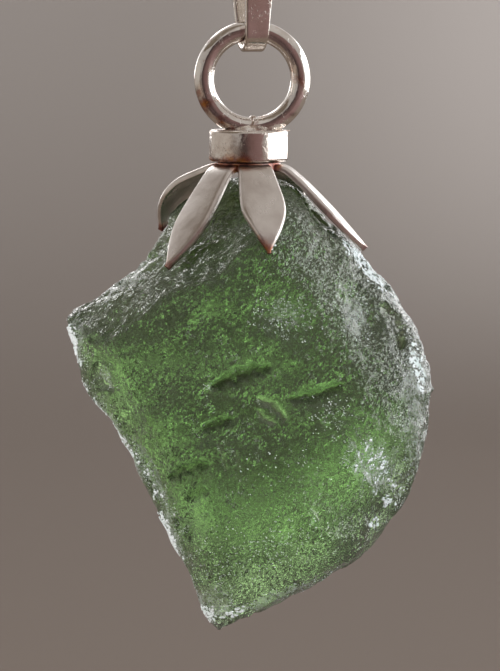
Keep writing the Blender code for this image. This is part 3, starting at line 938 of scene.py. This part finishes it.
def makeCap():
    look = capLook
    disc = Matrix.Translation((collarX, 0, discTop - look["discThickness"] / 2))
    bm = bmesh.new()
    along = bm.verts.layers.float.new("alongPetal")
    for degrees, length in look["petals"]:
        addPetal(bm, along, math.radians(degrees), length * mm)
    bmesh.ops.create_cone(
        bm, cap_ends=True, segments=look["discSides"], radius1=look["discRadius"],
        radius2=look["discRadius"], depth=look["discThickness"], matrix=disc,
    )
    cap = solidPiece("petal_cap_silver", bm, silverMaterial("stampedSilver", look, petalTips))
    cap.data.shade_smooth()
    cap.data.set_sharp_from_angle(angle=math.radians(50))
    return cap


print("petal cap")
cap = makeCap()
finishPiece(cap, "pendant", "petal_cap")


# Collar

collarLook = {
    "rounding": 0.16 * mm,
    "unevenness": 0.035 * mm,
    "dentScale": (1.7, 0.8),  # round it, and per mm up
    "around": 160,
    "rimSteps": 15,  # degrees
    "hole": 0.45,  # share of the radius where its top and underside end
    "footHeight": 0.6,  # mm that the tarnish reaches up
    "footTarnish": (-0.10, 0.28),
    "rightTarnish": -0.3,
    "sides": (0.6, -0.6),  # mm, from the right to the left
    "bright": (0.84, 0.79, 0.74, 1),
    "dull": (0.66, 0.58, 0.52, 1),
    "roughness": 0.13,
    "roughnessSpread": 0.12,
    "scratchFineness": 9.0,
    "scratchDepth": 0.006,
    "dentDepth": 0.035,
    "smudgeSize": 1.2,
    "tarnishSize": 0.8,
    "tarnishReach": 0.42,
}


def collarFoot(spot):
    # More tarnish low down on the left of the collar
    place, foot = split(spot), collarBox[0].z / mm
    low = remap(place[2], foot + collarLook["footHeight"], foot, *collarLook["footTarnish"])
    return calc("ADD", low, remap(place[0], *collarLook["sides"], collarLook["rightTarnish"], 0.0))


def makeCollar():
    # A turned drum with rounded rims, a little out of true
    look = collarLook
    low, high = collarBox
    radius = (high.x - low.x) / 2
    rim = look["rounding"]
    sideways, upward = look["dentScale"]
    profile = []
    for centre, first in ((high.z - rim, 90), (low.z + rim, 0)):
        for degrees in range(first, first - 91, -look["rimSteps"]):
            turn = math.radians(degrees)
            profile.append((radius - rim + rim * math.cos(turn), centre + rim * math.sin(turn)))
    hole = radius * look["hole"]
    profile = [(hole, high.z)] + profile + [(hole, low.z)]
    bm = bmesh.new()
    rings = []
    for away, height in profile:
        ring = []
        for turn in roundTurns(look["around"]):
            way = Vector((math.cos(turn), math.sin(turn), 0))
            dent = noise.noise(way * sideways + Vector((0, 0, height / mm * upward)))
            reach = away - look["unevenness"] * (0.5 + 0.5 * dent) * min(1, away / radius)
            ring.append(bm.verts.new(Vector((collarX, 0, height)) + way * reach))
        rings.append(ring)
    bridge(bm, rings)
    bm.faces.new(rings[0])
    bm.faces.new(rings[-1][::-1])
    collar = solidPiece("collar_silver", bm, silverMaterial("collarSilver", look, collarFoot))
    collar.data.shade_smooth()
    return collar


print("collar")
collar = makeCollar()
finishPiece(collar, "pendant", "collar")


# Ring

ringLook = {
    "around": 220,
    "sides": 36,
    "seamWidth": 0.05 * mm,
    "seamDepth": 0.10 * mm,
    "flattening": 0.03,
    "flatScale": (1.6, 0.7),  # along the ring, and round its wire
    # Orange stains low on the left and beside the seam: middle, reach and full within in mm, and strength
    "stains": (((-2.7, 0.1, -8.6), 1.5, 0.1, 0.27), ((-1.1, -0.3, -9.9), 0.9, 0.2, 0.14)),
    "bright": (0.90, 0.87, 0.83, 1),
    "dull": (0.76, 0.71, 0.66, 1),
    "roughness": 0.09,
    "roughnessSpread": 0.10,
    "scratchFineness": 10.0,
    "scratchDepth": 0.005,
    "dentDepth": 0.025,
    "smudgeSize": 1.0,
    "tarnishSize": 1.4,
    "tarnishReach": 0.43,
}
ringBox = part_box("ring")
wireRadius = (ringBox[1].y - ringBox[0].y) / 2
ringRadius = (ringBox[1].x - ringBox[0].x) / 2 - wireRadius
ringZ = ringBox[1].z - ringRadius - wireRadius


def ringStain(spot):
    # More tarnish in the stains
    more = 0.0
    for middle, reach, full, strength in ringLook["stains"]:
        away = vectorCalc("LENGTH", vectorCalc("SUBTRACT", spot, middle))
        more = calc("ADD", remap(away, reach, full, 0.0, strength), more)
    return more


def makeRing():
    # Round wire with slight flats from the pliers, closed in a butt seam at the bottom
    look = ringLook
    lengthwise, crosswise = look["flatScale"]
    bm = bmesh.new()
    rings = []
    for step, turn in enumerate(roundTurns(look["around"], -math.pi / 2)):
        outward = Vector((math.cos(turn), 0, math.sin(turn)))
        off = abs((step + look["around"] / 2) % look["around"] - look["around"] / 2)
        off *= 2 * math.pi * ringRadius / look["around"]
        seam = look["seamDepth"] * max(0.0, 1 - off / look["seamWidth"])
        ring = []
        for around in roundTurns(look["sides"]):
            way = outward * math.cos(around) + Vector((0, 1, 0)) * math.sin(around)
            flat = look["flattening"] * (0.5 + 0.5 * noise.noise(outward * lengthwise + way * crosswise))
            spot = Vector((0, 0, ringZ)) + outward * ringRadius
            spot += way * (wireRadius * (1 - flat) - seam)
            spot.z = max(spot.z, ringBox[0].z)
            ring.append(bm.verts.new(spot))
        rings.append(ring)
    bridge(bm, rings + rings[:1])
    ring = solidPiece("ring_silver", bm, silverMaterial("wireSilver", look, ringStain))
    ring.data.shade_smooth()
    return ring


print("ring")
ring = makeRing()
finishPiece(ring, "pendant", "ring")


# Bail

bailLook = {
    "innerHeight": 6.2 * mm,
    "topRadius": 1.55 * mm,
    "bottomRadius": 0.8 * mm,
    "thickness": 0.34 * mm,
    "widthBottom": 1.04 * mm,
    "widthTop": 1.6 * mm,
    "rounding": 0.10 * mm,
    "yaw": math.radians(14),
    "arcSteps": 36,
    "sideSteps": 12,
    "acrossPoints": 7,
    "edgeSteps": 4,
    "bright": (0.88, 0.84, 0.79, 1),
    "dull": (0.74, 0.68, 0.62, 1),
    "roughness": 0.11,
    "roughnessSpread": 0.12,
    "scratchFineness": 10.0,
    "scratchDepth": 0.005,
    "dentDepth": 0.03,
    "smudgeSize": 1.1,
    "tarnishSize": 0.7,
    "tarnishReach": 0.40,
}


def bailPath():
    # The inside of the loop, as points with the way forward and the way up
    look = bailLook
    top = np.array((0, -look["topRadius"]))
    bottom = np.array((0, -look["innerHeight"] + look["bottomRadius"]))
    lean = math.asin((look["topRadius"] - look["bottomRadius"]) / (top[1] - bottom[1]))
    over = np.linspace(-lean, math.pi + lean, look["arcSteps"] + 1)
    under = np.linspace(math.pi + lean, 2 * math.pi - lean, look["arcSteps"] + 1)
    down = np.linspace(0, 1, look["sideSteps"] + 1)[1:-1]
    ends = ((top, look["topRadius"], over), (bottom, look["bottomRadius"], under))
    path = []
    for (centre, radius, turns), (following, nextRadius, _) in (ends, ends[::-1]):
        path += [(centre, radius, turn) for turn in turns]
        for share in down:
            spot = centre + (following - centre) * share
            path.append((spot, radius + (nextRadius - radius) * share, turns[-1]))
    return [centre + radius * np.array((math.cos(turn), math.sin(turn))) for centre, radius, turn in path]


def makeBail():
    look = bailLook
    turn = Matrix.Rotation(look["yaw"], 3, "Z")
    bm = bmesh.new()
    rows = []
    for forward, height in bailPath():
        share = -height / look["innerHeight"]
        half = (look["widthTop"] + share * (look["widthBottom"] - look["widthTop"])) / 2
        row = [Vector((side * half, -forward, height)) for side in np.linspace(-1, 1, look["acrossPoints"])]
        rows.append([bm.verts.new(turn @ spot) for spot in row])
    for first, second in zip(rows, rows[1:] + rows[:1]):
        for i in range(len(first) - 1):
            bm.faces.new((first[i], second[i], second[i + 1], first[i + 1]))
    bail = solidPiece("bail_silver", bm, silverMaterial("bailSilver", look))
    setAll(bail.modifiers.new("strip", "SOLIDIFY"), thickness=look["thickness"], offset=1.0)
    rounded = bail.modifiers.new("rounded_edges", "BEVEL")
    setAll(rounded, width=look["rounding"], segments=look["edgeSteps"], limit_method="ANGLE",
           angle_limit=math.radians(50))
    applyModifiers(bail)
    bail.data.shade_smooth()
    return bail


print("bail")
bail = makeBail()
finishPiece(bail, "bail", "bail")


# Solder between the ring and the collar

solderLook = {
    "halfLength": 1.78 * mm,
    "halfWidth": 1.0 * mm,
    "height": 0.75 * mm,
    "hollowness": 1.7,  # the higher, the more the mound thins towards its rim
    "lumps": 0.05 * mm,
    "lumpScale": 2.6,
    "crest": 0.04,  # share of its length and width at the innermost row
    "rows": 22,
    "around": 84,
    "sink": 0.05 * mm,
    "grains": 170,
    "grainSize": 0.04 * mm,
    "seed": 11,
    "bright": (0.88, 0.84, 0.79, 1),
    "dull": (0.55, 0.46, 0.40, 1),
    "roughness": 0.16,
    "roughnessSpread": 0.2,
    "scratchFineness": 12.0,
    "scratchDepth": 0.004,
    "dentDepth": 0.05,
    "smudgeSize": 3.0,
    "tarnishSize": 1.6,
    "tarnishReach": 0.46,
}


def makeSolder():
    # A mound of solder with the ring's wire bedded in it, thinning out over the collar
    look = solderLook
    material = silverMaterial("solderSilver", look)
    foot = Vector((0, 0, collarBox[1].z - look["sink"]))
    bm = bmesh.new()
    rings = []
    for share in np.linspace(1, look["crest"], look["rows"]):
        ring = []
        for turn in roundTurns(look["around"]):
            spot = Vector((look["halfLength"] * math.cos(turn), look["halfWidth"] * math.sin(turn), 0))
            spot *= share
            lump = look["lumps"] * noise.noise(spot / mm * look["lumpScale"]) * (1.2 - share)
            spot.z = look["height"] * (1 - share) ** look["hollowness"] + lump
            ring.append(bm.verts.new(foot + spot))
        rings.append(ring)
    bridge(bm, rings)
    bm.faces.new(rings[-1])
    bm.faces.new(rings[0][::-1])
    solder = solidPiece("ring_solder", bm, material)
    scatter(solder, "solderGrains", material, {
        "Count": look["grains"], "Grain size": look["grainSize"], "Seed": look["seed"],
    })
    solder.data.shade_smooth()
    return solder


print("solder")
solder = makeSolder()
finishPiece(solder, "pendant", None)


# Floor, light and camera

studio = {
    "floorDrop": 45 * mm,  # from the pendant's lowest point down to the floor
    "floorRadius": 12.0,
    "floorLeft": 0.33,  # share of the far floor's paleness on its left
    "floorAcross": (-0.03, 0.09),  # sines of the directions where it grows to the full
    "floorReach": 2.1,  # 1 / metres from the middle where it begins to pale
    # The floor's two colours paint shade near the pendant and light far off
    "floorShaded": (0.17, 0.130, 0.102, 1),
    "floorLit": (0.80, 0.768, 0.755, 1),
    "wall": (0.36, 0.33, 0.31, 1),
    "ceiling": (0.50, 0.46, 0.43, 1),
    # Degrees from straight behind towards the right, half width in degrees, lowest, highest, and light
    "windows": ((-12, 6, 0.22, 0.37, 5.5), (26, 7, 0.08, 0.28, 4.0), (-25, 5, 0.44, 0.58, 5.0),
                (-34, 14, -0.20, 0.16, 2.8), (0, 60, -0.3, 0.5, 0.4),
                (-110, 38, 0.45, 1.1, -0.30)),
    "windowTint": (1.0, 0.99, 1.0),
    "windowEdges": (0.03, 0.05),  # how soft the lower and the upper one are
    # Soft lights for the chalky places, which the silver doesn't mirror: place and size in metres
    "lights": {
        "key": {"place": (-0.34, -0.26, 0.16), "size": 0.30, "power": 2.2, "tint": (1.0, 1.0, 1.0)},
        "side": {"place": (0.36, -0.16, 0.02), "size": 0.25, "power": 1.6, "tint": (0.88, 0.95, 1.0)},
    },
    "panel": {"away": 0.38, "degrees": 72, "width": 0.84, "height": 0.27, "light": (3.4, 3.37, 3.4, 1)},
    "flag": {"away": 0.30, "degrees": 171, "width": 0.40, "height": 0.24, "apron": 0.24,
             "left": (0.04, 0.024, 0.023, 1), "right": (0.17, 0.098, 0.092, 1), "blend": (-0.11, 0.09)},
    "leftPanel": {"away": 0.40, "degrees": -84, "width": 0.80, "height": 0.20,
                  "light": (0.46, 0.42, 0.38, 1)},
    "target": Vector((-0.1, 0, -19.83)) * mm,
    "distance": 200 * mm,
    "elevation": math.radians(5),
    "viewHeight": 31.5 * mm,  # seen at the target's distance
    "sensor": 36,
    "clip": (0.005, 60),
}
floorZ = cadBox[0][2] - studio["floorDrop"]


def stageMaterial(name):
    material, tree, shader = newMaterial(name)
    shader.inputs["Roughness"].default_value = 0.9
    return material, tree, shader


def makeFloor():
    # Pale, and a little lighter away from the pendant and towards the right: painted light and shade
    bm = bmesh.new()
    bmesh.ops.create_circle(bm, cap_ends=True, segments=128, radius=studio["floorRadius"])
    bmesh.ops.translate(bm, verts=bm.verts, vec=(0, 0, floorZ))
    material, tree, shader = stageMaterial("paleFloor")
    spot = objectPlace(tree)
    away = vectorCalc("LENGTH", spot)
    across = calc("DIVIDE", split(spot)[0], away)
    right = remap(across, *studio["floorAcross"], studio["floorLeft"], 1.0)
    lit = times(remap(calc("DIVIDE", 1.0, away), studio["floorReach"], 0.0), right)
    feed(shader.inputs["Base Color"], mixColours(lit, studio["floorShaded"], studio["floorLit"]))
    newPiece("floor", bm, material)


def makeBoard(name, board):
    # An upright board on the floor that only reflections see
    turn = math.radians(board["degrees"])
    foot = Vector((math.sin(turn), math.cos(turn), 0)) * board["away"]
    foot.z = floorZ
    half = Vector((math.cos(turn), -math.sin(turn), 0)) * board["width"] / 2
    up = Vector((0, 0, board["height"]))
    bm = bmesh.new()
    corners = [bm.verts.new(spot) for spot in (foot - half, foot + half, foot + half + up, foot - half + up)]
    bm.faces.new(corners)
    if "apron" in board:
        near = Vector((foot.x, foot.y, 0)).normalized() * -board["apron"] + Vector((0, 0, mm))
        bm.faces.new([corners[1], corners[0]] + [bm.verts.new(foot + side + near) for side in (-half, half)])
    material, tree, shader = stageMaterial(name)
    if "light" in board:
        black = (0, 0, 0, 1)
        feedAll(shader, {"Base Color": black, "Emission Color": board["light"], "Emission Strength": 1.0})
    else:
        share = remap(split(objectPlace(tree))[0], *board["blend"])
        feed(shader.inputs["Base Color"], mixColours(share, board["left"], board["right"]))
    piece = newPiece(name, bm, material)
    setAll(piece, visible_camera=False, visible_diffuse=False, visible_shadow=False,
           visible_transmission=False)


def makeLight(name, values):
    data = bpy.data.lights.new(name, "AREA")
    setAll(data, size=values["size"], energy=values["power"], color=values["tint"])
    light = bpy.data.objects.new(name, data)
    light.location = values["place"]
    light.rotation_euler = (light.location - studio["target"]).to_track_quat("Z", "Y").to_euler()
    setAll(light, visible_glossy=False, visible_transmission=False)
    bpy.context.scene.collection.objects.link(light)


def sector(flatWay, degrees, halfWidth, softness=6):
    # 1 within halfWidth degrees of a compass direction, falling to 0
    turn = math.radians(degrees)
    toward = vectorCalc("DOT_PRODUCT", flatWay, (math.sin(turn), math.cos(turn), 0))
    edges = [math.cos(math.radians(halfWidth + side)) for side in (softness, -softness)]
    return remap(toward, *edges)


def makeWorld():
    # A warm grey room with soft windows behind and on the right
    world = bpy.data.worlds.new("room")
    bpy.context.scene.world = world
    world.use_nodes = True
    tree = world.node_tree
    way = newNode(tree, "ShaderNodeTexCoord").outputs["Generated"]
    flatWay = vectorCalc("NORMALIZE", vectorCalc("MULTIPLY", way, (1, 1, 0)))
    height = split(way)[2]
    colour = mixColours(remap(height, 0.2, 0.75), studio["wall"], studio["ceiling"])
    lower, upper = studio["windowEdges"]
    for degrees, halfWidth, low, high, light in studio["windows"]:
        across = sector(flatWay, degrees, halfWidth)
        upright = times(remap(height, low - lower, low + lower), remap(height, high + upper, high - upper))
        glow = times(times(across, upright), light)
        colour = mixColours(1.0, colour, scaled(studio["windowTint"], glow), "ADD")
    feed(tree.nodes["Background"].inputs["Color"], colour)


def makeCamera():
    data = bpy.data.cameras.new("camera")
    camera = bpy.data.objects.new("camera", data)
    bpy.context.scene.collection.objects.link(camera)
    lift = studio["elevation"]
    back = Vector((0, -math.cos(lift), math.sin(lift)))
    camera.location = studio["target"] + back * studio["distance"]
    camera.rotation_euler = back.to_track_quat("Z", "Y").to_euler()
    near, far = studio["clip"]
    setAll(data, sensor_fit="VERTICAL", sensor_height=studio["sensor"], clip_start=near, clip_end=far)
    data.lens = studio["sensor"] * studio["distance"] / studio["viewHeight"]
    bpy.context.scene.camera = camera


print("studio")
makeFloor()
makeBoard("bright_board", studio["panel"])
makeBoard("left_board", studio["leftPanel"])
makeBoard("dark_board", studio["flag"])
for name, values in studio["lights"].items():
    makeLight(name, values)
makeWorld()
makeCamera()
bpy.context.scene.view_settings.view_transform = "Standard"
